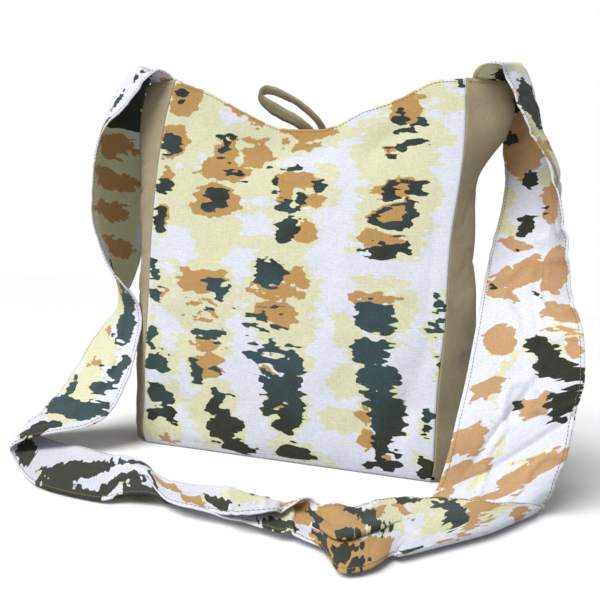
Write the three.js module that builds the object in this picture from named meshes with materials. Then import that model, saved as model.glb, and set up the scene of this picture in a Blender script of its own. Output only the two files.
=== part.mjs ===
// Soft cotton canvas crossbody bag, standing on its base with its strap laid on the floor.
// Millimetres, +Z up, the front faces -Y, the origin is the middle of the base on the floor.
import * as THREE from 'three';

// Driving sizes
const HALF_WIDTH = 152.5;
const HALF_DEPTH = 45;
const HEIGHT = 391;
const PANEL_WALL = 2;
const GUSSET_WALL = 2;
const STRAP_WALL = 2.4;
const SEAM_GAP = 0.5;
const BASE_RADIUS = 6;
const FRONT_BELLY = 11;
const BACK_BELLY = 9;
const BELLY_SKEW = 0.7;
const LEAN_POWER = 3;
const FOLD_TAPER = 2;
const FOLD_FADE_SHARE = 1 / 6;
const SEAM_STIFFNESS = 8;
const LAYER_RISE = 3.5;
const LOOP_STRIP = { width: 9, thickness: 3.6 };

// Mesh steps
const PANEL_COLUMNS = 16;
const FRONT_STEPS = 14;
const CORNER_STEPS = 3;
const BASE_STEPS = 6;
const GUSSET_STEPS = 10;
const GUSSET_LEVELS = 16;
const STRAP_STEPS_PER_ROW = 3;
const STRAP_COLUMNS = 10;
const LOOP_STEPS_PER_ROW = 3;
const LOOP_SIDES = 8;

const COLOURS = { canvas: 0xe4e3dc, khaki: 0x8f826a };
const CLOTH_ROUGHNESS = 0.85;

// A table of named columns, one object a row
function table(columns, rows) {
  return rows.map((row) => Object.fromEntries(columns.map((name, k) => [name, row[k]])));
}

// Seams by height: side seams, panel faces, how far each side gusset swells out and how round it is
const SEAMS = table(
  ['z', 'left', 'right', 'front', 'back', 'leftSwell', 'rightSwell', 'round'],
  [
    [0, -152.5, 152.5, -45, 45, 27, 27, 0.9],
    [45, -153, 151, -43, 46, 29, 30, 0.9],
    [90, -157, 150, -40, 47, 31, 31, 0.8],
    [150, -160, 152, -36, 48, 30, 27, 0.7],
    [230, -164, 151, -31, 49, 32, 22, 0.6],
    [300, -164, 156, -27, 46, 39, 16, 0.5],
    [350, -160, 156, -24, 36, 46, 43, 0.5],
    [391, -152.5, 152.5, -22, 28, 46, 46, 0.5],
  ],
);

// Mouth edges across the bag: both sag between the corners
const MOUTH = table(
  ['across', 'frontTop', 'backTop', 'frontIn', 'backIn'],
  [
    [-1, 390, 390, 0, 0],
    [-0.72, 377, 379, 2, 1],
    [-0.45, 357, 361, 4, 2],
    [-0.2, 342, 347, 6, 3],
    [0.02, 340, 345, 6, 3],
    [0.16, 343, 347, 6, 3],
    [0.36, 359, 362, 4, 2],
    [0.6, 372, 375, 3, 2],
    [0.8, 388, 388, 1, 1],
    [1, 390, 390, 0, 0],
  ],
);

// Soft folds of the front and back panels: place, slant, size and depth of each dent
const FOLDS = table(
  ['side', 'x', 'z', 'slant', 'length', 'width', 'depth'],
  [
    ['front', 136, 215, 90, 150, 5, 1.4],
    ['front', 118, 52, 52, 60, 12, 4],
    ['front', 128, 92, 74, 60, 10, 3],
    ['front', -112, 46, 150, 48, 13, 3.5],
    ['front', -120, 128, 168, 44, 16, 2.5],
    ['front', -20, 318, 4, 90, 20, 3],
    ['front', 84, 330, 40, 52, 12, 2.5],
    ['front', -92, 330, 142, 52, 13, 2.5],
    ['back', 40, 300, 20, 90, 20, 3],
    ['back', -70, 120, 110, 80, 20, 3],
    ['back', 100, 60, 50, 60, 14, 3],
  ],
);

// The strap from its left root to its right one. Each row is a ridge point with a near and a far wing,
// and a wing is a heading, a rise and a length.
const STRAP = table(
  ['x', 'y', 'z', 'nearTurn', 'nearTip', 'nearLength', 'farTurn', 'farTip', 'farLength', 'round'],
  [
    [-199.2, 5, 362, -16, 0, 62, 16, 0, 62, 34],
    [-193.2, 3, 391, -14, 0, 60, 14, 0, 60, 33],
    [-196, 4, 402, -36, -4, 54, 38, 0, 54, 24],
    [-203, 6, 411, -58, -30, 56, 78, 2, 46, 16],
    [-214, 5, 413, -54, -40, 62, 90, -8, 42, 12],
    [-233, 2, 389, -46, -32, 60, 76, -4, 46, 10],
    [-248, 2, 351, -53, -16, 52, 60, 0, 52, 9],
    [-250, 3, 312, -62, 0, 50, 53, 0, 52, 9],
    [-244, 4, 275, -72, 0, 50, 54, 0, 51, 9],
    [-236, 4, 232, -77, 0, 50, 61, 0, 50, 9],
    [-225, 2, 186, -65, 0, 50, 85, 0, 50, 9],
    [-214, -2, 138, -31, 4, 50, 119, -4, 50, 9],
    [-212, -28, 90, -20, 8, 50, 138, 12, 48, 9],
    [-213, -64, 52, -10, 2, 50, 141, 3, 50, 9],
    [-222, -90, 34, -12, -4, 52, 138, -8, 52, 10],
    [-237, -104, 25, -58, -8, 46, 128, -10, 48, 12],
    [-248, -115, 13, -63, -2, 50, 117, 0, 50, 12],
    [-238, -124, 4, -62, -1, 54, 118, 0, 52, 12],
    [-196, -134, 4, -64, -1, 98, 108, 2, 28, 9],
    [-146, -132, 7, -62, -2, 118, 117, 3, 8, 6],
    [-124, -136, 9, -60, -3, 108, 117, -90, 4, 5],
    [-88, -162, 11, -57, -4, 80, 117, -172, 20, 5],
    [-48, -196, 13, -50, -5, 52, 122, -175, 46, 5],
    [3, -198, 14, -66, -4, 60, 114, -175, 50, 5],
    [32, -206, 14, -74, -2, 46, 108, -175, 48, 5],
    [47, -211, 14, -76, 0, 34, 106, -175, 46, 5],
    [62, -211, 15, -78, 2, 18, 104, -174, 46, 5],
    [82, -212, 16, -80, 90, 4, 104, -172, 52, 5],
    [101, -222, 15, -80, 172, 19, 100, -171, 70, 6],
    [124, -232, 14, -81, 175, 50, 98, -168, 47, 8],
    [139, -211, 15, -87, 175, 46, 91, -166, 43, 9],
    [157, -195, 16, -100, 175, 42, 72, -167, 58, 9],
    [181, -186, 15, -120, 175, 50, 58, -172, 76, 9],
    [203, -176, 9, -118, 179, 92, 52, -179, 97, 14],
    [200, -169, 4, -119, 180, 88, 53, -180, 96, 14],
    [201, -128, 7, -146, 160, 72, 43, -178, 74, 9],
    [207, -96, 28, -163, 155, 68, 22, -160, 58, 9],
    [215, -74, 66, -170, 155, 64, 22, -160, 55, 9],
    [222, -58, 102, -184, 166, 56, 5, -166, 50, 9],
    [227, -34, 145, -196, 172, 50, 3, -174, 48, 9],
    [229, 0, 188, -228, 178, 47, 0, -178, 46, 9],
    [236, 12, 245, -252, 180, 50, -24, -180, 50, 9],
    [246, 14, 299, -285, 182, 44, -30, -182, 60, 9],
    [232, 10, 342, -297, 184, 47, -40, -182, 58, 9],
    [217, 10, 386, -300, 198, 50, -42, -170, 50, 10],
    [207, 10, 410, -300, 205, 51, -58, -172, 49, 12],
    [198, 7, 412, -294, 198, 50, -72, -178, 50, 16],
    [194, 4, 403, -324, 184, 54, -38, -180, 54, 24],
    [193.2, 3, 391, -346, 180, 60, -14, -180, 60, 33],
    [195, 5, 362, -343.8, 180, 62, -16.2, -180, 62, 34],
  ],
);

// The closure loop: the strip's middle, and the heading and rise of its width
const LOOP = table(
  ['x', 'y', 'z', 'turn', 'tip'],
  [
    [8, 35.5, 322, 0, 0],
    [6, 30.5, 340, 0, 0],
    [-2, 23, 358, -40, 18],
    [-24, 17, 376, -58, 30],
    [-45, 14, 386, -62, 40],
    [-62, 13, 391, -60, 46],
    [-70, 13, 385, -70, 20],
    [-64, 14, 376, -80, -10],
    [-48, 16, 365, -70, 0],
    [-28, 19, 356, -50, 6],
    [-12, 24, 347, -20, 2],
    [-7, 31.1, 338, 0, 0],
    [-7, 35.5, 322, 0, 0],
  ],
);

// Smooth value between rows, the same for every numeric column
function rowAt(rows, place) {
  const last = rows.length - 1;
  const at = Math.min(Math.floor(place), last - 1);
  const f = place - at;
  const mix = {};
  for (const name of Object.keys(rows[0])) {
    const here = rows[at][name];
    const next = rows[at + 1][name];
    const before = at > 0 ? rows[at - 1][name] : 2 * here - next;
    const after = at + 2 <= last ? rows[at + 2][name] : 2 * next - here;
    const bend = 2 * before - 5 * here + 4 * next - after;
    const twist = 3 * (here - next) + after - before;
    mix[name] = here + 0.5 * f * (next - before + f * (bend + f * twist));
  }
  return mix;
}

// The row of a table whose sorted column has the given value
function rowWhere(rows, name, value) {
  const last = rows.length - 1;
  let at = 0;
  while (at < last - 1 && rows[at + 1][name] < value) at += 1;
  const step = (value - rows[at][name]) / (rows[at + 1][name] - rows[at][name]);
  return rowAt(rows, at + THREE.MathUtils.clamp(step, 0, 1));
}

function heading(turn, tip) {
  const a = THREE.MathUtils.degToRad(turn);
  const e = THREE.MathUtils.degToRad(tip);
  return new THREE.Vector3(Math.cos(e) * Math.cos(a), Math.cos(e) * Math.sin(a), Math.sin(e));
}

// Surface normals of a grid of points, rows crossed with columns
function gridNormals(grid) {
  const rows = grid.length;
  const columns = grid[0].length;
  return grid.map((line, i) => line.map((_, j) => {
    const along = grid[Math.min(i + 1, rows - 1)][j].clone().sub(grid[Math.max(i - 1, 0)][j]);
    const across = line[Math.min(j + 1, columns - 1)].clone().sub(line[Math.max(j - 1, 0)]);
    return along.cross(across).normalize();
  }));
}

function offsetGrid(grid, normals, distance) {
  return grid.map((line, i) => line.map((p, j) => p.clone().addScaledVector(normals[i][j], distance)));
}

// A closed wall between an outer and an inner grid of the same size
function shell(outer, inner) {
  const rows = outer.length;
  const columns = outer[0].length;
  const points = [...outer.flat(), ...inner.flat()];
  const id = (side, i, j) => side * rows * columns + i * columns + j;
  const faces = [];
  const quad = (a, b, c, d) => faces.push(a, b, c, a, c, d);
  for (let i = 0; i < rows - 1; i += 1) {
    for (let j = 0; j < columns - 1; j += 1) {
      quad(id(0, i, j), id(0, i + 1, j), id(0, i + 1, j + 1), id(0, i, j + 1));
      quad(id(1, i, j), id(1, i, j + 1), id(1, i + 1, j + 1), id(1, i + 1, j));
    }
  }
  for (let i = 0; i < rows - 1; i += 1) {
    quad(id(0, i + 1, 0), id(0, i, 0), id(1, i, 0), id(1, i + 1, 0));
    quad(id(0, i, columns - 1), id(0, i + 1, columns - 1), id(1, i + 1, columns - 1), id(1, i, columns - 1));
  }
  for (let j = 0; j < columns - 1; j += 1) {
    quad(id(0, 0, j), id(0, 0, j + 1), id(1, 0, j + 1), id(1, 0, j));
    quad(id(0, rows - 1, j + 1), id(0, rows - 1, j), id(1, rows - 1, j), id(1, rows - 1, j + 1));
  }
  return indexed(points, faces);
}

function indexed(points, faces) {
  const geometry = new THREE.BufferGeometry().setFromPoints(points);
  geometry.setIndex(faces);
  geometry.computeVertexNormals();
  return geometry;
}

// Depth of the soft folds at a place on a panel
function foldDepth(side, x, z) {
  let depth = 0;
  for (const fold of FOLDS.filter((row) => row.side === side)) {
    const slant = THREE.MathUtils.degToRad(fold.slant);
    const dx = x - fold.x;
    const dz = z - fold.z;
    const along = (dx * Math.cos(slant) + dz * Math.sin(slant)) / fold.length;
    const off = (dz * Math.cos(slant) - dx * Math.sin(slant)) / fold.width;
    depth += fold.depth * Math.exp(-FOLD_TAPER * along * along - off * off);
  }
  return depth;
}

// Side gusset's swell across its depth: 1 at the ridge, 0 at the seams
function swellShape(v, round) {
  const rise = Math.hypot(v, round) - round;
  return 1 - rise / (Math.hypot(1, round) - round);
}

// A point of the front or back face at a share of the width and of the height above the base corner
function facePoint(side, across, share) {
  const edge = rowWhere(MOUTH, 'across', across);
  const front = side === 'front';
  const top = front ? edge.frontTop : edge.backTop;
  const z = BASE_RADIUS + (top - BASE_RADIUS) * share;
  const seam = rowWhere(SEAMS, 'z', z);
  const x = THREE.MathUtils.lerp(seam.left, seam.right, (across + 1) / 2);
  const swell = (1 - across * across) * Math.sin(Math.PI * share ** BELLY_SKEW);
  const lean = (front ? edge.frontIn : -edge.backIn) * share ** LEAN_POWER;
  const fade = Math.min(1, share / FOLD_FADE_SHARE) * (1 - across ** SEAM_STIFFNESS);
  const dent = foldDepth(side, x, z) * fade;
  const y = front
    ? seam.front + lean - FRONT_BELLY * swell + dent
    : seam.back + lean + BACK_BELLY * swell - dent;
  return new THREE.Vector3(x, y, z);
}

// A point of the rounded base edges and the flat base, at a turn of the corner or a depth
function basePoint(across, y, z) {
  const inset = HALF_DEPTH - BASE_RADIUS + PANEL_WALL;
  const swell = Math.abs(y) < inset ? swellShape(y / inset, SEAMS[0].round) : 0;
  const end = HALF_WIDTH + SEAMS[0].leftSwell * swell;
  return new THREE.Vector3(across * end, y, z);
}

// Front, base and back in one cloth, from the front mouth edge down, under and up to the back one
function bodyPanel() {
  const flat = HALF_DEPTH - BASE_RADIUS;
  const corner = (across, side, turn) => {
    const y = side * (flat + BASE_RADIUS * Math.cos(turn));
    return basePoint(across, y, BASE_RADIUS * (1 - Math.sin(turn)));
  };
  const lines = [];
  for (let k = 0; k <= FRONT_STEPS; k += 1) lines.push((u) => facePoint('front', u, 1 - k / FRONT_STEPS));
  for (let k = 1; k <= CORNER_STEPS; k += 1) {
    lines.push((u) => corner(u, -1, (Math.PI / 2) * (k / CORNER_STEPS)));
  }
  for (let k = 1; k < BASE_STEPS; k += 1) lines.push((u) => basePoint(u, flat * (2 * k / BASE_STEPS - 1), 0));
  for (let k = CORNER_STEPS; k >= 1; k -= 1) {
    lines.push((u) => corner(u, 1, (Math.PI / 2) * (k / CORNER_STEPS)));
  }
  for (let k = 0; k <= FRONT_STEPS; k += 1) lines.push((u) => facePoint('back', u, k / FRONT_STEPS));
  const columns = Array.from({ length: PANEL_COLUMNS + 1 }, (_, j) => (2 * j) / PANEL_COLUMNS - 1);
  const outer = lines.map((line) => columns.map((u) => line(u)));
  return shell(outer, offsetGrid(outer, gridNormals(outer), -PANEL_WALL));
}

// Inner height of the base cloth at a depth, where the gusset's lower edge sits
function baseInside(y) {
  const over = Math.abs(y) - (HALF_DEPTH - BASE_RADIUS);
  const inner = BASE_RADIUS - PANEL_WALL;
  if (over <= 0) return PANEL_WALL;
  return BASE_RADIUS - Math.sqrt(Math.max(0, inner * inner - over * over));
}

// One face of a side gusset: its wall is inset from the ridge and from both seams
function gussetFace(side, inset) {
  const face = [];
  for (let i = 0; i <= GUSSET_STEPS; i += 1) {
    const v = side * ((2 * i) / GUSSET_STEPS - 1);
    const bottom = baseInside(v * HALF_DEPTH) + SEAM_GAP;
    const line = [];
    for (let k = 0; k <= GUSSET_LEVELS; k += 1) {
      const z = bottom + (HEIGHT - bottom) * (k / GUSSET_LEVELS);
      const seam = rowWhere(SEAMS, 'z', z);
      const edge = side > 0 ? seam.right : -seam.left;
      const swell = (side > 0 ? seam.rightSwell : seam.leftSwell) - inset;
      const end = inset * Math.SQRT2;
      const y = THREE.MathUtils.lerp(seam.front + end, seam.back - end, (v + 1) / 2);
      line.push(new THREE.Vector3(side * (edge + SEAM_GAP + swell * swellShape(v, seam.round)), y, z));
    }
    face.push(line);
  }
  return face;
}

function gusset(side) {
  return shell(gussetFace(side, 0), gussetFace(side, GUSSET_WALL));
}

// Points across the strap at one row, from the far edge over the ridge to the near edge
function strapSection(row) {
  const near = heading(row.nearTurn, row.nearTip);
  const far = heading(row.farTurn, row.farTip);
  const closed = (1 + near.dot(far)) / 2;
  const apart = near.clone().sub(far).normalize().multiplyScalar(closed * LAYER_RISE);
  const points = [];
  for (let j = 0; j <= STRAP_COLUMNS; j += 1) {
    const s = THREE.MathUtils.lerp(-row.farLength, row.nearLength, j / STRAP_COLUMNS);
    const root = Math.hypot(s, row.round);
    const p = new THREE.Vector3(row.x, row.y, row.z);
    p.addScaledVector(near, (root + s - row.round) / 2);
    p.addScaledVector(far, (root - s - row.round) / 2);
    points.push(p.addScaledVector(apart, s / root));
  }
  return points;
}

function strap() {
  const steps = (STRAP.length - 1) * STRAP_STEPS_PER_ROW;
  const middle = [];
  for (let i = 0; i <= steps; i += 1) middle.push(strapSection(rowAt(STRAP, i / STRAP_STEPS_PER_ROW)));
  const normals = gridNormals(middle);
  return shell(offsetGrid(middle, normals, STRAP_WALL / 2), offsetGrid(middle, normals, -STRAP_WALL / 2));
}

// A rounded strip swept along the loop, with closed ends
function closureLoop() {
  const steps = (LOOP.length - 1) * LOOP_STEPS_PER_ROW;
  const rows = Array.from({ length: steps + 1 }, (_, i) => rowAt(LOOP, i / LOOP_STEPS_PER_ROW));
  const place = (row) => new THREE.Vector3(row.x, row.y, row.z);
  const points = [];
  rows.forEach((row, i) => {
    const travel = place(rows[Math.min(i + 1, steps)]).sub(place(rows[Math.max(i - 1, 0)])).normalize();
    const wide = heading(row.turn, row.tip);
    wide.addScaledVector(travel, -wide.dot(travel)).normalize();
    const thick = new THREE.Vector3().crossVectors(travel, wide);
    for (let k = 0; k < LOOP_SIDES; k += 1) {
      const a = (2 * Math.PI * k) / LOOP_SIDES;
      const p = place(row).addScaledVector(wide, (LOOP_STRIP.width / 2) * Math.cos(a));
      points.push(p.addScaledVector(thick, (LOOP_STRIP.thickness / 2) * Math.sin(a)));
    }
  });
  const faces = [];
  for (let i = 0; i < steps; i += 1) {
    for (let k = 0; k < LOOP_SIDES; k += 1) {
      const a = i * LOOP_SIDES + k;
      const b = i * LOOP_SIDES + ((k + 1) % LOOP_SIDES);
      faces.push(a, b, b + LOOP_SIDES, a, b + LOOP_SIDES, a + LOOP_SIDES);
    }
  }
  const lastRing = steps * LOOP_SIDES;
  for (let k = 1; k < LOOP_SIDES - 1; k += 1) {
    faces.push(0, k + 1, k, lastRing, lastRing + k, lastRing + k + 1);
  }
  return indexed(points, faces);
}

function piece(name, geometry, colour) {
  const finish = { color: colour, roughness: CLOTH_ROUGHNESS, metalness: 0 };
  const mesh = new THREE.Mesh(geometry, new THREE.MeshStandardMaterial(finish));
  mesh.name = name;
  return mesh;
}

const bag = new THREE.Group();
bag.add(
  piece('body_panel', bodyPanel(), COLOURS.canvas),
  piece('gusset_left', gusset(-1), COLOURS.khaki),
  piece('gusset_right', gusset(1), COLOURS.khaki),
  piece('strap', strap(), COLOURS.canvas),
  piece('closure_loop', closureLoop(), COLOURS.khaki),
);

export default bag;
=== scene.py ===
"""Soft cotton canvas crossbody bag, standing on its base with its strap laid on the floor.

Shapes are in millimetres in the tables and in metres in the scene: +Z up, the front faces -Y,
and the origin is the middle of the base on the floor.
"""
import math

import bpy
import numpy as np
from mathutils import Matrix, Vector


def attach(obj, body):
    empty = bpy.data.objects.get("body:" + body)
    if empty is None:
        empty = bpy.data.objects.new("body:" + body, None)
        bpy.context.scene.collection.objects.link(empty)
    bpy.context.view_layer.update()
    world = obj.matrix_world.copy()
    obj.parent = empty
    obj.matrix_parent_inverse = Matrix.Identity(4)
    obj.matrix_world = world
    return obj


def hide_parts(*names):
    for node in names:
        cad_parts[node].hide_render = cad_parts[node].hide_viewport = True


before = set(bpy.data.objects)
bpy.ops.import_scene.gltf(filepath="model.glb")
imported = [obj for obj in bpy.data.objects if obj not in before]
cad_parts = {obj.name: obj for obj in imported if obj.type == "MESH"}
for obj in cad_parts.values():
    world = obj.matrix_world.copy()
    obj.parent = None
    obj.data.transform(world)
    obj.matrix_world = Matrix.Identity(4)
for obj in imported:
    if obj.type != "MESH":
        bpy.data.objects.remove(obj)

bl_info = {
    "name": "Canvas crossbody bag",
    "version": (1, 0, 0),
    "blender": (4, 5, 0),
    "location": "3D View > Sidebar > Bag",
    "description": "Builds a printed canvas crossbody bag with its strap, loop and stitching",
    "category": "Object",
}

MM = 0.001

# Shape of the cloth, with its lengths in millimetres
HALF_WIDTH = 152.5
HALF_DEPTH = 45
HEIGHT = 391
PANEL_WALL = 2
GUSSET_WALL = 2
STRAP_WALL = 2.4
STRAP_HALF_WIDTH = 50
SEAM_GAP = 0.3
BASE_RADIUS = 6
FRONT_BELLY = 11
BACK_BELLY = 9
BELLY_SKEW = 0.7
LEAN_POWER = 3
FOLD_TAPER = 2
FOLD_FADE_SHARE = 1 / 6
SEAM_STIFFNESS = 8
LAYER_RISE = 3.5
LOOP_WIDTH = 9
LOOP_THICKNESS = 3.6

# Mesh steps
PANEL_COLUMNS = 120
FACE_STEPS = 140
CORNER_STEPS = 6
BASE_STEPS = 30
GUSSET_STEPS = 48
GUSSET_LEVELS = 150
STRAP_STEPS_PER_ROW = 15
STRAP_COLUMNS = 44
LOOP_STEPS_PER_ROW = 8
LOOP_SIDES = 20

# Longest step towards the next row of a table, and the shortest length that gives a direction
NEXT_ROW = 1 - 1e-9
SHORTEST = 1e-12


def table(columns, rows):
    """Named columns of a table as arrays."""
    return {name: np.array(column) for name, column in zip(columns.split(), zip(*rows))}


def inked(columns, groups):
    """Named columns of a print chart whose rows are grouped by ink."""
    return table(columns, [(ink, *row) for ink, rows in groups.items() for row in rows])


# Seams by height: side seams, panel faces, how far each side gusset swells out and how round it is
SEAMS = table("z left right front back left_swell right_swell round", [
    (0, -152.5, 152.5, -45, 45, 27, 27, 0.9),
    (45, -153, 151, -43, 46, 29, 30, 0.9),
    (90, -157, 150, -40, 47, 31, 31, 0.8),
    (150, -160, 152, -36, 48, 30, 27, 0.7),
    (230, -164, 151, -31, 49, 32, 22, 0.6),
    (300, -164, 156, -27, 46, 39, 16, 0.5),
    (350, -160, 156, -24, 36, 46, 43, 0.5),
    (391, -152.5, 152.5, -22, 28, 46, 46, 0.5),
])

# Mouth edges across the bag: both sag between the corners
MOUTH = table("across front_top back_top front_in back_in", [
    (-1, 390, 390, 0, 0),
    (-0.72, 377, 379, 2, 1),
    (-0.45, 357, 361, 4, 2),
    (-0.2, 342, 347, 6, 3),
    (0.02, 340, 345, 6, 3),
    (0.16, 343, 347, 6, 3),
    (0.36, 359, 362, 4, 2),
    (0.6, 372, 375, 3, 2),
    (0.8, 388, 388, 1, 1),
    (1, 390, 390, 0, 0),
])

# Soft folds of each panel: place, slant, size and depth of each dent
FOLDS = {
    "front": table("x z slant length width depth", [
        (136, 215, 90, 150, 5, 1.4),
        (118, 52, 52, 60, 12, 4),
        (128, 92, 74, 60, 10, 3),
        (-112, 46, 150, 48, 13, 3.5),
        (-120, 128, 168, 44, 16, 2.5),
        (-20, 318, 4, 90, 20, 3),
        (84, 330, 40, 52, 12, 2.5),
        (-92, 330, 142, 52, 13, 2.5),
    ]),
    "back": table("x z slant length width depth", [
        (40, 300, 20, 90, 20, 3),
        (-70, 120, 110, 80, 20, 3),
        (100, 60, 50, 60, 14, 3),
    ]),
}

# The strap from its left root to its right one: each row is a ridge point with a near and a far wing,
# and a wing is a heading, a rise and a length
STRAP = table("x y z near_turn near_tip near_length far_turn far_tip far_length round", [
    (-199.2, 5, 362, -16, 0, 62, 16, 0, 62, 34),
    (-193.2, 3, 391, -14, 0, 60, 14, 0, 60, 33),
    (-196, 4, 402, -36, -4, 54, 38, 0, 54, 24),
    (-203, 6, 411, -58, -30, 56, 78, 2, 46, 16),
    (-214, 5, 413, -54, -40, 62, 90, -8, 42, 12),
    (-233, 2, 389, -46, -32, 60, 76, -4, 46, 10),
    (-248, 2, 351, -53, -16, 52, 60, 0, 52, 9),
    (-250, 3, 312, -62, 0, 50, 53, 0, 52, 9),
    (-244, 4, 275, -72, 0, 50, 54, 0, 51, 9),
    (-236, 4, 232, -77, 0, 50, 61, 0, 50, 9),
    (-225, 2, 186, -65, 0, 50, 85, 0, 50, 9),
    (-214, -2, 138, -31, 4, 50, 119, -4, 50, 9),
    (-212, -28, 90, -20, 8, 50, 138, 12, 48, 9),
    (-213, -64, 52, -10, 2, 50, 141, 3, 50, 9),
    (-222, -90, 34, -12, -4, 52, 138, -8, 52, 10),
    (-237, -104, 25, -58, -8, 46, 128, -10, 48, 12),
    (-248, -115, 13, -63, -2, 50, 117, 0, 50, 12),
    (-238, -124, 4, -62, -1, 54, 118, 0, 52, 12),
    (-196, -134, 4, -64, -1, 98, 108, 2, 28, 9),
    (-146, -132, 7, -62, -2, 118, 117, 3, 8, 6),
    (-124, -136, 9, -60, -3, 108, 117, -90, 4, 5),
    (-88, -162, 11, -57, -4, 80, 117, -172, 20, 5),
    (-48, -196, 13, -50, -5, 52, 122, -175, 46, 5),
    (3, -198, 14, -66, -4, 60, 114, -175, 50, 5),
    (32, -206, 14, -74, -2, 46, 108, -175, 48, 5),
    (47, -211, 14, -76, 0, 34, 106, -175, 46, 5),
    (62, -211, 15, -78, 2, 18, 104, -174, 46, 5),
    (82, -212, 16, -80, 90, 4, 104, -172, 52, 5),
    (101, -222, 15, -80, 172, 19, 100, -171, 70, 6),
    (124, -232, 14, -81, 175, 50, 98, -168, 47, 8),
    (139, -211, 15, -87, 175, 46, 91, -166, 43, 9),
    (157, -195, 16, -100, 175, 42, 72, -167, 58, 9),
    (181, -186, 15, -120, 175, 50, 58, -172, 76, 9),
    (203, -176, 9, -118, 179, 92, 52, -179, 97, 14),
    (200, -169, 4, -119, 180, 88, 53, -180, 96, 14),
    (201, -128, 7, -146, 160, 72, 43, -178, 74, 9),
    (207, -96, 28, -163, 155, 68, 22, -160, 58, 9),
    (215, -74, 66, -170, 155, 64, 22, -160, 55, 9),
    (222, -58, 102, -184, 166, 56, 5, -166, 50, 9),
    (227, -34, 145, -196, 172, 50, 3, -174, 48, 9),
    (229, 0, 188, -228, 178, 47, 0, -178, 46, 9),
    (236, 12, 245, -252, 180, 50, -24, -180, 50, 9),
    (246, 14, 299, -285, 182, 44, -30, -182, 60, 9),
    (232, 10, 342, -297, 184, 47, -40, -182, 58, 9),
    (217, 10, 386, -300, 198, 50, -42, -170, 50, 10),
    (207, 10, 410, -300, 205, 51, -58, -172, 49, 12),
    (198, 7, 412, -294, 198, 50, -72, -178, 50, 16),
    (194, 4, 403, -324, 184, 54, -38, -180, 54, 24),
    (193.2, 3, 391, -346, 180, 60, -14, -180, 60, 33),
    (195, 5, 362, -343.8, 180, 62, -16.2, -180, 62, 34),
])

# The closure loop: the strip's middle, the heading and rise of its width, and how much wider and
# thicker the turned cloth is than where it is sewn in
LOOP = table("x y z turn tip wider thicker", [
    (8, 35.5, 322, 0, 0, 1, 1),
    (6, 30.5, 340, 0, 0, 1, 1),
    (-2, 23, 358, -40, 18, 1, 1.2),
    (-24, 17, 376, -58, 30, 1, 1.4),
    (-45, 14, 386, -62, 40, 1.1, 1.4),
    (-60, 13, 390, -60, 46, 1.2, 1.5),
    (-67, 13, 384, -62, 34, 1.3, 1.6),
    (-61, 14, 376, -52, 42, 1.4, 1.6),
    (-46, 16, 367, -34, 54, 1.5, 1.6),
    (-27, 19, 358, -26, 48, 1.4, 1.5),
    (-11, 24, 348, -14, 20, 1.1, 1.2),
    (-7, 31.1, 338, 0, 0, 1, 1),
    (-7, 35.5, 322, 0, 0, 1, 1),
])

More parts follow.
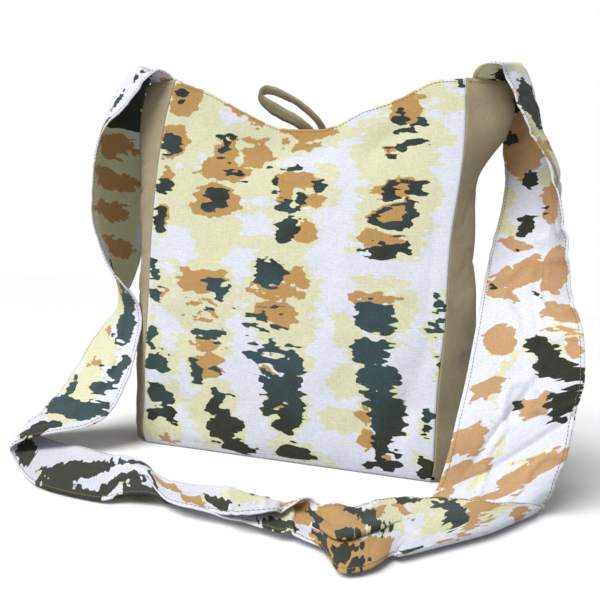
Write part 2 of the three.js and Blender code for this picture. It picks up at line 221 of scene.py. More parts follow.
# Print of the front: each blotch of ink, its middle across and up the cloth, its size and its slant.
# White keeps green ink out, and gap keeps dark ink out.
CHART_COLUMNS = "ink across up wide high slant"
FRONT_CHART = inked(CHART_COLUMNS, {
    "green": [
        (-95, 322, 150, 136, 0), (-70, 352, 130, 70, -20), (-20, 318, 110, 64, 0), (22, 344, 84, 36, 10),
        (-100, 238, 104, 110, 0), (-62, 215, 80, 74, -30), (-20, 266, 90, 64, 0), (0, 232, 72, 62, 0),
        (-5, 176, 72, 72, 0), (2, 135, 62, 42, 0), (96, 330, 84, 66, 0), (100, 374, 70, 34, 20),
        (97, 262, 80, 104, 0), (140, 366, 36, 24, 0), (70, 312, 52, 42, 0), (-84, 110, 62, 56, 0),
        (-80, 150, 50, 40, 0), (-72, 45, 52, 68, 0), (62, 138, 32, 50, 25), (66, 88, 34, 34, 0),
        (68, 50, 44, 26, 0), (92, 185, 52, 18, 0), (112, 160, 22, 50, 0), (-128, 88, 34, 26, 0),
        (-135, 20, 60, 26, 0), (-116, 60, 22, 30, 0), (-136, 162, 36, 44, 0),
    ],
    "white": [
        (-82, 352, 24, 22, 0), (-108, 302, 22, 6, 0), (-122, 214, 44, 46, 0), (26, 300, 64, 42, 0),
        (-10, 306, 26, 14, 0), (50, 352, 42, 14, 10), (-36, 262, 34, 14, 10), (-34, 238, 46, 18, 0),
        (47, 268, 38, 62, 0), (48, 216, 44, 70, 0), (-50, 196, 44, 34, 0), (20, 246, 30, 18, 0),
    ],
    "ochre": [
        (-135, 369, 42, 40, 0), (-139, 324, 32, 34, 0), (-141, 281, 18, 28, 0), (-140, 245, 18, 22, 0),
        (-138, 160, 14, 10, 0), (-122, 4, 26, 9, 0), (-64, 353, 42, 14, -28), (-62, 328, 48, 8, 4),
        (-84, 311, 27, 28, 0), (-80, 295, 48, 23, 0), (-83, 259, 54, 39, 0), (-92, 177, 50, 31, 0),
        (-86, 154, 28, 5, 0), (-85, 142, 25, 5, 0), (-79, 114, 38, 11, 0), (-79, 92, 40, 29, 0),
        (-48, 312, 33, 25, 0), (0, 337, 56, 19, 6), (3, 322, 37, 9, 0), (-3, 282, 46, 19, 6),
        (-14, 268, 17, 19, 0), (15, 263, 29, 17, 0), (12, 232, 32, 21, 0), (9, 189, 24, 19, 0),
        (-9, 173, 54, 19, 0), (-13, 148, 50, 27, 0), (98, 360, 35, 31, 20), (90, 375, 24, 11, 20),
        (88, 321, 14, 9, 0), (97, 281, 48, 21, 0), (95, 255, 42, 25, 0), (91, 228, 42, 25, 0),
        (86, 169, 38, 13, 0), (83, 60, 16, 12, 0), (86, 38, 18, 22, 0), (106, 16, 16, 11, 0),
        (-12, 109, 18, 5, 0), (-13, 95, 18, 5, 0), (2, 60, 14, 7, 0),
    ],
    "gap": [
        (-12, 109, 16, 4, 0), (-13, 95, 17, 4, 0), (2, 60, 13, 6, 0), (97, 256, 20, 10, 0),
        (-57, 53, 13, 17, 20), (-78, 38, 10, 9, 0), (90, 134, 10, 6, 0), (108, 17, 15, 10, 0),
    ],
    "dark": [
        (-142, 371, 17, 15, 30), (-142, 320, 27, 21, 20), (-141, 275, 21, 18, 0), (-144, 242, 15, 25, 0),
        (-146, 186, 15, 25, 0), (-146, 159, 15, 25, 0), (-147, 116, 15, 17, 0), (-141, 90, 23, 21, -15),
        (-131, 55, 27, 21, -10), (-128, 32, 29, 19, 0), (-83, 331, 17, 9, 0), (-85, 317, 11, 21, -10),
        (-66, 293, 18, 7, -25), (-80, 263, 29, 15, 0), (-91, 253, 10, 12, 40), (-78, 171, 29, 14, -15),
        (-80, 146, 8, 6, 0), (-81, 125, 35, 13, -15), (-90, 86, 14, 25, 25), (-67, 85, 9, 8, 0),
        (-70, 58, 19, 15, 0), (-66, 46, 29, 31, 0), (-61, 27, 40, 25, 0), (-47, 9, 46, 17, -12),
        (-21, 294, 14, 3.5, 0), (-4, 297, 18, 3.5, 4), (18, 280, 14, 15, -20), (-23, 279, 8, 7, 0),
        (-13, 259, 25, 10, -40), (3, 262, 12, 12, 0), (-6, 234, 25, 29, 15), (-18, 190, 37, 26, 0),
        (-26, 151, 26, 5, 0), (-20, 137, 37, 5.5, -8), (-20, 128, 17, 3, 0), (-12, 117, 22, 3, 0),
        (-24, 104, 36, 13, -10), (0, 102, 48, 29, -15), (2, 82, 52, 24, 0), (6, 62, 48, 38, 0),
        (9, 40, 27, 19, 0), (15, 10, 44, 21, -12), (92, 351, 11, 18, 0), (112, 347, 16, 13, -20),
        (98, 339, 14, 6, 0), (106, 321, 37, 12, 12), (88, 278, 16, 21, 0), (111, 283, 20, 8, -10),
        (112, 276, 15, 10, 30), (98, 253, 40, 24, 0), (94, 220, 38, 14, 0), (106, 228, 14, 13, 0),
        (85, 158, 29, 23, 0), (88, 147, 36, 19, 0), (84, 120, 36, 28, 0), (93, 127, 26, 15, 0),
        (98, 95, 37, 34, 0), (101, 73, 34, 17, 0), (106, 56, 34, 41, 0), (103, 34, 18, 15, 0),
        (106, 15, 40, 23, 0), (147, 170, 10, 15, 0), (146, 152, 10, 18, 0), (149, 113, 6, 15, 0),
        (146, 62, 12, 19, 0), (148, 50, 9, 9, 0), (146, 14, 19, 21, 0), (148, 386, 10, 13, 0),
    ],
})

# Print of the strap's top and under faces, where a few blotches under the arches are painted shade:
# place counts rows of STRAP, and share runs from the far edge at -1 to the near edge at 1
STRAP_CHART_COLUMNS = "ink place share high wide slant"
STRAP_CHARTS = {
    "top": inked(STRAP_CHART_COLUMNS, {
        "green": [
            (6.3, 0.8, 30, 20, 0), (10.9, -0.1, 40, 80, 0), (12.1, -0.5, 92, 84, 0),
            (12.95, -0.2, 56, 70, 0), (14.4, 0.4, 20, 40, 0), (25, 0, 60, 50, 0),
            (29.1, -0.95, 9, 18, 0), (30.6, 0.35, 96, 92, 0), (43, 0.5, 60, 50, 0), (46, 0.3, 30, 50, 0),
        ],
        "white": [
            (12.6, -0.75, 20, 22, 0), (29.75, -0.6, 36, 24, 0), (30.9, -0.35, 20, 66, -15),
        ],
        "ochre": [
            (5.5, 0.6, 16, 12, 0), (11.55, -0.2, 14, 24, 0), (12.35, -0.15, 12, 28, 0),
            (26.4, 0.2, 26, 60, 0), (27.7, 0.35, 44, 70, 0), (28.3, -0.75, 80, 54, 0),
            (29.2, 0.5, 18, 24, 0), (30.1, 0.35, 10, 38, -25), (32.35, 0.3, 10, 80, -28),
            (32, 0.85, 14, 16, 0), (32.75, 0.7, 11, 22, 0), (42.7, 0.5, 14, 18, 0),
            (42.3, 0.85, 60, 18, 0), (41.5, 0.85, 20, 10, 0),
        ],
        "dark": [
            (3.3, 0.3, 14, 10, 20), (4.2, 0.5, 12, 10, 0), (5.2, 0.55, 22, 14, 0), (6, 0.85, 22, 12, 0),
            (10.85, 0.6, 34, 30, 0), (11.45, 0.5, 44, 36, 0), (12.4, 0.65, 34, 24, 0),
            (12.4, 0.1, 8, 8, 0), (12.85, 0.45, 16, 22, 0), (13.05, -0.55, 20, 20, 0),
            (13.7, 0, 30, 96, 0), (14.1, -0.3, 24, 40, 0), (25.2, -0.8, 40, 30, 0),
            (26.95, 0.1, 11, 62, -15), (27.1, -0.8, 16, 30, 0), (28.2, 0.05, 9, 14, 0),
            (28.15, -0.65, 14, 42, 35), (28.55, -0.9, 15, 15, 0), (28.8, 0.35, 17, 70, -30),
            (30.2, 0.75, 9, 26, -20), (31.8, 0.42, 16, 72, -28), (43.75, 0.55, 54, 40, 0),
            (42.9, 0.2, 14, 12, 0),
        ],
    }),
    "under": inked(STRAP_CHART_COLUMNS, {
        "green": [
            (8, 0, 200, 96, 0), (10.3, -0.2, 90, 100, 0), (21.9, 0.3, 26, 22, -30),
            (23.6, 0.3, 50, 30, 0), (36.1, -0.3, 20, 12, 30), (36.7, -0.15, 20, 9, -10),
            (37.8, -0.45, 24, 9, 20), (38.5, -0.35, 28, 8, -10), (41.1, -0.7, 16, 30, 0),
            (42.1, 0.1, 26, 30, 0), (41.6, -0.95, 40, 22, 0), (47.3, 0, 120, 100, 0),
        ],
        "white": [
            (41.5, 0.1, 14, 20, 0),
        ],
        "ochre": [
            (6.6, 0, 24, 80, 0), (7.7, 0, 26, 84, 0), (8.65, 0.1, 22, 70, 0), (9.5, 0, 26, 70, 0),
            (26, 0.6, 20, 20, 0), (35.4, 0.05, 16, 40, -10), (35.75, 0.5, 26, 62, 12),
            (35.95, -0.9, 14, 26, 0), (36.2, 0.55, 7, 26, 0), (36.35, -0.65, 20, 44, 0),
            (36.85, -0.8, 18, 32, 0), (37.15, -0.8, 12, 28, 0), (37.42, 0.3, 22, 28, -20),
            (38.1, -0.6, 24, 40, 0), (39, -0.55, 36, 36, 0), (38.75, 0.85, 16, 16, 0),
            (39.1, 0.7, 9, 28, -10), (39.6, 0.65, 32, 42, -20), (39.95, -0.6, 22, 32, 0),
            (40.35, -0.35, 22, 54, 15), (40.4, 0.55, 46, 44, 0), (40.85, -0.5, 18, 38, 0),
            # The last ochre blotch, on the far half under the right arch, is partly print and partly
            # painted shade: it darkens the strip that lies in deep shadow there
            (41.6, 0.3, 44, 40, 0), (42.9, -0.55, 66, 52, 0),
        ],
        "gap": [
            (19.75, 0.75, 12, 26, -40),
        ],
        "dark": [
            # The two first dark blotches, under the top of the left arch, are painted shade: dark ink laid
            # where the inside of the arch lies in shadow
            (4.7, -0.5, 56, 90, 0), (5.7, -0.3, 34, 96, 0), (10.3, 0.65, 46, 26, 0),
            (17.3, 0.25, 56, 72, 0), (18.55, 0.1, 36, 96, -54), (18.4, 0.85, 60, 28, 0),
            (19.4, 0.85, 60, 26, 0), (19.95, 0.5, 28, 50, -54), (20.4, -0.35, 74, 14, 12),
            (20.7, 0.85, 60, 28, 0), (21.75, 0.75, 50, 44, -20), (22.6, 0.6, 50, 20, -15),
            (24.4, 0.1, 14, 4, 0), (25, 0.2, 12, 4, 0), (37.3, 0.75, 38, 30, -20),
            (37.65, 0.05, 10, 9, 0), (38.3, 0.62, 25, 58, -42), (38.75, 0.2, 20, 26, -10),
            (40, -0.75, 10, 9, 0), (40.1, 0.15, 13, 9, 0), (40.8, -0.35, 6, 7, 0),
            (41.25, -0.35, 20, 18, 0), (41.5, 0, 7, 16, 0), (42.1, -0.35, 20, 22, 0),
            (43, -0.75, 18, 20, 0), (44.3, -0.2, 50, 90, 0), (46.6, -0.3, 26, 40, 0),
            (47.8, 0.3, 18, 30, 0),
        ],
    }),
}

# Areas of the strap, by rows and shares across, whose print is a free scatter of the same blotches
STRAP_SCATTERED = {
    "top": [
        (0, 2.5, -1, 1),
        (2.5, 6.8, -1, 0),
        (6.8, 10.6, -1, 1),
        (15, 24, -1, 1),
        (34, 41, -1, 1),
        (41, 46.5, -1, 0),
    ],
    "under": [
        (0, 4, -1, 1),
        (11, 16, -1, 1),
        (27, 34, -1, 1),
        (42, 46.5, 0.3, 1),
    ],
}

# Print sizes in millimetres: how far outlines wander at each size of cell,
# and the green fringe round other inks
WANDER = table("reach wide high", [
    (5.5, 21, 16),
    (3.2, 11, 6),
])
BODY_FRINGE = 2.2
STRAP_FRINGE = -2.5
FRINGE_SPREAD = 6
FRINGE_CELL = 27
# Depth in places that are far from any blotch
NO_INK = -60
INKS = ("green", "white", "ochre", "gap", "dark")

# Free scatter of blotches: spacing of its columns and steps, and the range of sizes and slants
SCATTER_COLUMN = 55
SCATTER_STEP = (17, 37)
SCATTER_WIDE = (16, 46)
SCATTER_HIGH = (10, 30)
SCATTER_SHIFT = 12
SCATTER_SLANT = 25
SCATTER_INKS = ("ochre", "dark", "ochre", "dark", "green", "dark")

# How brown the dark ink is up the body, and how brown the dark and how peach the ochre is along the
# strap by rows
BODY_BROWN = table("up share", [(0, 1), (60, 0.5), (110, 0.05), (165, 0.05), (215, 0.5), (391, 0.6)])
STRAP_TINTS = table("place brown peach", [
    (0, 0.7, 0.2),
    (9.5, 0.8, 0.2),
    (10.5, 0.1, 0.2),
    (14, 0.2, 0.2),
    (15.5, 0.9, 0.2),
    (24, 0.75, 0.2),
    (30, 0.6, 0.3),
    (32, 0.3, 0.4),
    (34, 0.8, 1),
    (49, 0.8, 1),
])

# Starting numbers of the random patterns: a fringe's lies a step on from its print's
SEEDS = {
    "body ripples": 11, "body creases": 15, "body scatter": 21, "body print": 31,
    "gusset ripples": 41, "gusset creases": 45,
    "strap puckers": 51, "strap ripples": 53, "strap creases": 57,
    "strap scatter top": 60, "strap scatter under": 70, "strap print top": 71, "strap print under": 91,
    "loop": 81,
}
FRINGE_SEED_STEP = 9
# Cells after which lattice noise repeats
NOISE_CELLS = 128

# Noise cells of the canvas in millimetres across and along the cloth
CANVAS_CELLS = [
    ("slub_weft", 22, 1.1),
    ("slub_warp", 1.3, 30),
    ("short_weft", 5, 1.1),
    ("short_warp", 1.1, 5),
    ("mottle", 34, 30),
    ("barbs", 17, 5.5),
    ("nibbles", 9, 6),
    ("grain", 1.7, 1.2),
]
# Noise mostly lies in this span
NOISE_LOW = 0.3
NOISE_HIGH = 0.7
NOISE_DETAIL = 1.0
# The mottle moves the dark ink's change from teal to olive, and inks thin out on high threads
OLIVE_MOTTLE = 1.2
OLIVE_FROM = 0.75
OLIVE_TO = 1.35
THIN_FROM = 0.62
THIN_TO = 0.85
THINNEST_INK = {"green": 0.92, "ochre": 0.92, "dark": 0.85}
# A wave texture has this many bands in 2 pi units at scale 1
WAVE_BANDS = 20
# Relief, roughness and sheen of the weave
SLUB_RELIEF = 1.6
WEAVE_BEND = 1.2
WEAVE_STRENGTH = 0.5
WEAVE_DEPTH = 0.3
CANVAS_ROUGHNESS = (0.82, 0.94)
CANVAS_SHEEN = 0.1
CANVAS_SHEEN_ROUGHNESS = 0.6
CANVAS_SPECULAR = 0.2
# How far each kind of thread lightens and darkens the cloth
THREAD_TONES = [("slub_weft", 0.03), ("slub_warp", 0.025), ("short_weft", 0.06), ("short_warp", 0.05)]
# How far sideways barbs and small nibbles move each ink's edge, in millimetres
BARB_REACH = {"green": 3.2, "ochre": 1.3, "dark": 3.4}
NIBBLE_REACH = {"green": 2.4, "ochre": 2.1, "dark": 1.5}
GRAIN_REACH = 0.7
INK_EDGE = 0.2

# Sewing thread: size of its plies in millimetres, how much lighter they get, and roughness
PLY_LENGTH = 1.1
PLY_LIGHTER = 1.7
THREAD_ROUGHNESS = 0.6
# One stitch from end to end: share of its length, and rise in thread radii
STITCH_BOW = table("share rise", [(0, -0.6), (0.25, 0.55), (0.75, 0.55), (1, -0.6)])

# Floor: size in metres, noise cells per metre, shade of its grain and roughness
FLOOR_SIZE = 30
FLOOR_GRAIN = 40
FLOOR_SHADE = 0.985
FLOOR_ROUGHNESS = 0.9
# Share of the floor's brightness that reaches the bag as fill light
FLOOR_FILL = 0.6

# Soft ripples and sharper crease lines of the cloth: depth and cell sizes in millimetres
BODY_RIPPLES = table("depth wide high", [(0.9, 30, 44), (0.35, 11, 15)])
BODY_CREASE = (2.2, 46, 60)
# The body creases most near its side seams and low down, and its base lies flat
BODY_CREASE_LEAST = 0.12
BODY_CREASE_POWER = 3
BODY_CREASE_HEIGHT = 110
BODY_FLAT_HEIGHT = 20
GUSSET_RIPPLES = table("depth wide high", [(1.1, 28, 36), (0.4, 12, 14)])
GUSSET_CREASE = (1.5, 40, 34)
GUSSET_SEAM_POWER = 4
STRAP_RIPPLES = table("depth wide high", [(0.8, 26, 34), (0.3, 9, 12)])
STRAP_CREASE = (1.6, 34, 42)
# Cloth that lies on the floor is pressed flatter
STRAP_FREE_HEIGHT = 12
STRAP_FLAT_SHARE = 0.1
CREASE_SHARPNESS = 0.17
# Where along the strap the creases are strong, by rows of STRAP
STRAP_CREASED = table("place share", [
    (0, 0.3),
    (6, 0.6),
    (11, 0.5),
    (13, 1),
    (18, 0.7),
    (22, 0.4),
    (27, 0.8),
    (31, 0.7),
    (34, 0.9),
    (37, 1.8),
    (41, 1.8),
    (44, 0.7),
    (49, 0.3),
])
# Tucks of the strap: place of each line by row and share across, how far the cloth rises to it,
# and how far its raised side overhangs the other one
STRAP_TUCKS = table("place share slant length reach depth overhang", [
    (28.3, -0.05, 92, 40, 24, 5, 15),
    (30.6, -0.3, 100, 22, 10, 3, 0),
    (13.4, 0.5, 20, 34, 12, 3, 0),
    (12.1, 0.42, 90, 46, 14, -4, 0),
    (21.4, 0.1, 70, 34, 12, 4, 0),
    (37.6, -0.1, 60, 46, 18, 5, 0),
    (39.4, 0.1, 96, 50, 18, 6, 0),
    (36.5, 0.3, 20, 40, 14, 4, 0),
    (41, 0.1, 84, 60, 20, 7, 0),
])
# Half the width in which a tuck drops behind its line
TUCK_SHARPNESS = 1.7
# The body's lower edges are drawn in by these shares of its width and depth, most at the floor
BASE_TUCK_IN = (0.016, 0.09)
BASE_TUCK_HEIGHT = 11
# The strap's hem is thinner than the rest of its wall, and puckered by its stitching
STRAP_EDGE_WALL = 1.1
STRAP_EDGE_TAPER = 3.2
PUCKER_DEPTH = 0.4
PUCKER_STEP = 6
PUCKER_REACH = 7
# The loop's pressed crease along the middle of each face, and its puffs, as shares of its size
LOOP_CREASE = 0.14
LOOP_CREASE_WIDTH = 0.25
LOOP_PUFF = 0.07
LOOP_PUFF_LENGTH = 7


def linear(colour):
    """Linear RGBA of an sRGB hex colour, by the standard's formula."""
    parts = [((colour >> shift) & 255) / 255 for shift in (16, 8, 0)]
    return (*[c / 12.92 if c <= 0.04045 else ((c + 0.055) / 1.055) ** 2.4 for c in parts], 1.0)


def colour_property(name, description, colour):
    """A colour setting whose default is an sRGB hex colour."""
    return bpy.props.FloatVectorProperty(
        name=name, description=description, subtype="COLOR", size=4, min=0, max=1, default=linear(colour))


def length_property(name, description, length):
    """A length setting whose default is in millimetres."""
    return bpy.props.FloatProperty(
        name=name, description=description, default=length * MM, unit="LENGTH", precision=5)


def angle_property(name, description, degrees):
    """An angle setting whose default is in degrees."""
    return bpy.props.FloatProperty(
        name=name, description=description, default=math.radians(degrees), subtype="ANGLE")


def number_property(name, description, number):
    """A setting that is a plain number."""
    return bpy.props.FloatProperty(name=name, description=description, default=number)


class BagCloth(bpy.types.PropertyGroup):
    """Colours and weave of the canvas"""
    ground: colour_property("Ground", "Bleached canvas between the inks", 0xE4E7F2)
    green: colour_property("Green ink", "Pale green blotches", 0xE1E1BD)
    ochre: colour_property("Ochre ink", "Ochre blotches of the body", 0xC0985D)
    peach: colour_property("Peach ink", "Ochre blotches of the strap", 0xC69E73)
    teal: colour_property("Teal ink", "Dark blotches where the ink is blue", 0x394E52)
    olive: colour_property("Olive ink", "Dark blotches where the ink is brown", 0x2F3229)
    khaki: colour_property("Khaki", "Plain dyed canvas", 0xAFA387)
    khaki_shade: colour_property("Khaki shade", "Darker places of the dye", 0xA19579)
    thread_pitch: length_property("Thread pitch", "Distance between canvas threads", 0.7)


class BagStitching(bpy.types.PropertyGroup):
    """Sizes and colour of the sewing thread"""
    pitch: length_property("Stitch pitch", "Distance from stitch to stitch", 3.8)
    length: length_property("Stitch length", "Visible length of one stitch", 2.9)
    radius: length_property("Thread radius", "Radius of the sewing thread", 0.32)
    inset: length_property("Inset", "Distance of the stitching from an edge", 3.5)
    colour: colour_property("Thread", "Colour of the sewing thread", 0x7C6644)


class BagStage(bpy.types.PropertyGroup):
    """Camera, floor and light"""
    azimuth: angle_property("Azimuth", "Camera's turn to the right of the front", 14.902)
    elevation: angle_property("Elevation", "Camera's rise above the target", 1.092)
    roll: angle_property("Roll", "Camera's roll about its view line", 4.167)
    distance: length_property("Distance", "Camera's distance from its target", 732.436)
    target: bpy.props.FloatVectorProperty(
        name="Target", description="Point that the camera looks at", default=(-0.002097, 0, 0.163509),
        unit="LENGTH")
    lens: number_property("Lens", "Focal length in millimetres", 41.4)
    sensor: number_property("Sensor", "Sensor width in millimetres", 36)
    floor: colour_property("Floor", "Pale studio floor", 0xFFFFFF)
    sky: number_property("Sky", "Strength of the white surround as a light", 0.26)
    backdrop: number_property("Backdrop", "Brightness of the white surround as it is seen", 1)
    key: number_property("Key", "Strength of the soft light from the front left", 3.3)
    key_rise: angle_property("Key rise", "Height of the light above the floor as an angle", 48)
    key_turn: angle_property("Key turn", "Light's turn to the left of the front", 30)
    key_spread: angle_property("Key spread", "Angle that the light fills, so how soft its shadows are", 45)


def smooth_rows(rows, place):
    """Every column of a table at fractional row places, on a smooth curve through the rows."""
    place = np.asarray(place, float)
    last = len(next(iter(rows.values()))) - 1
    at = np.clip(np.floor(place).astype(int), 0, last - 1)
    f = place - at
    mixed = {}
    for name, column in rows.items():
        padded = np.concatenate([[2 * column[0] - column[1]], column, [2 * column[-1] - column[-2]]])
        before, here, following, after = padded[at], padded[at + 1], padded[at + 2], padded[at + 3]
        bend = 2 * before - 5 * here + 4 * following - after
        twist = 3 * (here - following) + after - before
        mixed[name] = here + 0.5 * f * (following - before + f * (bend + f * twist))
    return mixed


def rows_where(rows, name, value):
    """Every column of a table where its sorted column has the given values."""
    column = rows[name]
    at = np.clip(np.searchsorted(column, value) - 1, 0, len(column) - 2)
    step = (value - column[at]) / (column[at + 1] - column[at])
    return smooth_rows(rows, at + np.clip(step, 0, NEXT_ROW))


def heading(turn, tip):
    """Unit vectors from a turn from +X towards +Y and a rise, both in degrees."""
    a = np.radians(turn)
    e = np.radians(tip)
    return np.stack([np.cos(e) * np.cos(a), np.cos(e) * np.sin(a), np.sin(e)], -1)


def unit(vectors):
    """The vectors with a length of 1."""
    return vectors / np.maximum(np.linalg.norm(vectors, axis=-1, keepdims=True), SHORTEST)


def slanted(a, b, slant):
    """Distances along and off a line that slants by an angle in degrees."""
    turn = math.radians(slant)
    return a * math.cos(turn) + b * math.sin(turn), b * math.cos(turn) - a * math.sin(turn)


def run_length(points):
    """Distance along a line of points from its first one."""
    return np.concatenate([[0], np.cumsum(np.linalg.norm(np.diff(points, axis=0), axis=-1))])


def grid_normals(grid):
    """Surface normals of a grid of points, rows crossed with columns."""
    return unit(np.cross(np.gradient(grid, axis=0), np.gradient(grid, axis=1)))


def lattice_noise(a, b, seed):
    """Smooth noise from -1 to 1 over two coordinates that count cells."""
    side = NOISE_CELLS
    values = np.random.default_rng(seed).uniform(-1, 1, (side, side))
    i = np.floor(a).astype(int)
    j = np.floor(b).astype(int)
    f = a - i
    g = b - j
    f = f * f * (3 - 2 * f)
    g = g * g * (3 - 2 * g)
    low = values[i % side, j % side] * (1 - f) + values[(i + 1) % side, j % side] * f
    high = values[i % side, (j + 1) % side] * (1 - f) + values[(i + 1) % side, (j + 1) % side] * f
    return low * (1 - g) + high * g


def rippled(a, b, ripples, seed):
    """Height of soft ripples over the cloth."""
    height = 0
    for k, depth in enumerate(ripples["depth"]):
        height = height + depth * lattice_noise(a / ripples["wide"][k], b / ripples["high"][k], seed + k)
    return height


def creased(a, b, crease, seed):
    """Height of sharp wandering crease lines over the cloth."""
    depth, wide, high = crease
    a = a / wide
    b = b / high
    bend = lattice_noise(a, b, seed) + lattice_noise(2 * a, 2 * b, seed + 1) / 2
    return -depth * np.exp(-(bend / CREASE_SHARPNESS) ** 2)


def tucked(across, along, run):
    """Height of the tucks and how far they hang over: the cloth rises to each line and drops behind it."""
    height = np.zeros(across.shape)
    overhang = np.zeros(across.shape)
    for k, place in enumerate(STRAP_TUCKS["place"]):
        dx = across - STRAP_TUCKS["share"][k] * STRAP_HALF_WIDTH
        dy = along - np.interp(place, *run)
        on_line, off = slanted(dx, dy, STRAP_TUCKS["slant"][k])
        step = (1 - np.tanh(off / TUCK_SHARPNESS)) / 2 * np.exp(-np.abs(off) / STRAP_TUCKS["reach"][k])
        step = step * np.exp(-(on_line / STRAP_TUCKS["length"][k]) ** 2)
        height += STRAP_TUCKS["depth"][k] * step
        overhang += STRAP_TUCKS["overhang"][k] * step
    return height, overhang


def ink_fields(across, up, chart, fringe, seed):
    """Depth inside each ink's blotches in metres, negative outside, with wandering outlines."""
    x = across
    y = up
    for k, reach in enumerate(WANDER["reach"]):
        a = across / WANDER["wide"][k]
        b = up / WANDER["high"][k]
        x = x + reach * lattice_noise(a, b, seed + 2 * k)
        y = y + reach * lattice_noise(a, b, seed + 2 * k + 1)
    fields = {ink: np.full(across.shape, NO_INK, float) for ink in INKS}
    for k, ink in enumerate(chart["ink"]):
        half_wide = chart["wide"][k] / 2
        half_high = chart["high"][k] / 2
        along, off = slanted(x - chart["across"][k], y - chart["up"][k], chart["slant"][k])
        depth = (1 - np.hypot(along / half_wide, off / half_high)) * min(half_wide, half_high)
        fields[ink] = np.maximum(fields[ink], depth)
    patchy = lattice_noise(across / FRINGE_CELL, up / FRINGE_CELL, seed + FRINGE_SEED_STEP)
    dark = np.minimum(fields["dark"], -fields["gap"])
    green = np.minimum(fields["green"], -fields["white"])
    green = np.maximum(green, np.maximum(fields["ochre"], dark) + fringe + FRINGE_SPREAD * patchy)
    return {"green": green * MM, "ochre": fields["ochre"] * MM, "dark": dark * MM}


def scattered(low, high, left, right, seed):
    """Chart rows of a free scatter of blotches in columns up the cloth."""
    rng = np.random.default_rng(seed)
    rows = []
    columns = max(1, round((right - left) / SCATTER_COLUMN))
    for middle in left + (right - left) * (np.arange(columns) + 0.5) / columns:
        up = low + rng.uniform(0, SCATTER_STEP[1])
        while up < high:
            ink = SCATTER_INKS[rng.integers(len(SCATTER_INKS))]
            shift = rng.uniform(-SCATTER_SHIFT, SCATTER_SHIFT)
            slant = rng.uniform(-SCATTER_SLANT, SCATTER_SLANT)
            size = rng.uniform(*SCATTER_WIDE), rng.uniform(*SCATTER_HIGH)
            rows.append((ink, middle + shift, up, *size, slant))
            up += rng.uniform(*SCATTER_STEP)
    return rows


def joined_charts(*charts):
    """One chart with the rows of all."""
    return {name: np.concatenate([chart[name] for chart in charts]) for name in CHART_COLUMNS.split()}


def cloth_mesh(name, outer, inner, cloth, materials, inner_slot=0, inks=None):
    """A closed cloth wall between two grids of points in millimetres, with cloth coordinates as its UVs."""
    rows, columns = outer.shape[:2]
    top, low = np.arange(2 * rows * columns).reshape(2, rows, columns)
    corners = [
        (top[:-1, :-1], top[1:, :-1], top[1:, 1:], top[:-1, 1:]),
        (low[:-1, :-1], low[:-1, 1:], low[1:, 1:], low[1:, :-1]),
        (top[1:, 0], top[:-1, 0], low[:-1, 0], low[1:, 0]),
        (top[:-1, -1], top[1:, -1], low[1:, -1], low[:-1, -1]),
        (top[0, :-1], top[0, 1:], low[0, 1:], low[0, :-1]),
        (top[-1, 1:], top[-1, :-1], low[-1, :-1], low[-1, 1:]),
    ]
    faces = [np.stack(four, -1).reshape(-1, 4) for four in corners]
    slots = np.concatenate([np.zeros(len(quads), np.int32) for quads in faces])
    slots[len(faces[0]):len(faces[0]) + len(faces[1])] = inner_slot
    points = np.concatenate([outer.reshape(-1, 3), inner.reshape(-1, 3)])
    flat = np.concatenate([cloth.reshape(-1, 2)] * 2)
    piece = mesh_piece(name, points, np.concatenate(faces).tolist(), flat, materials)
    piece.data.polygons.foreach_set("material_index", slots)
    for ink, value in (inks or {}).items():
        attribute = piece.data.attributes.new(ink, "FLOAT", "POINT")
        attribute.data.foreach_set("value", value.astype(np.float32).ravel())
    return piece


def mesh_piece(name, points, faces, flat, materials):
    """A smooth object from points and cloth coordinates in millimetres."""
    mesh = bpy.data.meshes.new(name)
    mesh.from_pydata((points * MM).tolist(), [], faces)
    corner = np.zeros(len(mesh.loops), np.int32)
    mesh.loops.foreach_get("vertex_index", corner)
    layer = mesh.uv_layers.new(name="cloth")
    layer.data.foreach_set("uv", (flat[corner] * MM).astype(np.float32).ravel())
    mesh.polygons.foreach_set("use_smooth", np.ones(len(mesh.polygons), bool))
    for material in materials:
        mesh.materials.append(material)
    mesh.update()
    piece = bpy.data.objects.new(name, mesh)
    bpy.context.scene.collection.objects.link(piece)
    return piece


def dressed(piece, node):
    """The piece rides on the part and stands in for its node."""
    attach(piece, "root")
    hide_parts(node)


def fold_depth(side, x, z):
    """Depth of the soft folds at places on a panel."""
    depth = np.zeros(x.shape)
    folds = FOLDS[side]
    for k, deepest in enumerate(folds["depth"]):
        along, off = slanted(x - folds["x"][k], z - folds["z"][k], folds["slant"][k])
        along = along / folds["length"][k]
        off = off / folds["width"][k]
        depth += deepest * np.exp(-FOLD_TAPER * along ** 2 - off ** 2)
    return depth


def swell_shape(v, round_share):
    """Side gusset's swell across its depth: 1 at the ridge, 0 at the seams."""
    rise = np.hypot(v, round_share) - round_share
    return 1 - rise / (np.hypot(1, round_share) - round_share)


def face_points(side, across, share):
    """Points of the front or back face at shares of the width and of the height above the base corner."""
    edge = rows_where(MOUTH, "across", across)
    top = edge["front_top"] if side == "front" else edge["back_top"]
    z = BASE_RADIUS + (top - BASE_RADIUS) * share
    seam = rows_where(SEAMS, "z", z)
    x = seam["left"] + (seam["right"] - seam["left"]) * (across + 1) / 2
    swell = (1 - across ** 2) * np.sin(np.pi * share ** BELLY_SKEW)
    dent = fold_depth(side, x, z) * np.minimum(1, share / FOLD_FADE_SHARE) * (1 - across ** SEAM_STIFFNESS)
    if side == "front":
        y = seam["front"] + edge["front_in"] * share ** LEAN_POWER - FRONT_BELLY * swell + dent
    else:
        y = seam["back"] - edge["back_in"] * share ** LEAN_POWER + BACK_BELLY * swell - dent
    return np.stack([x, y, z], -1)


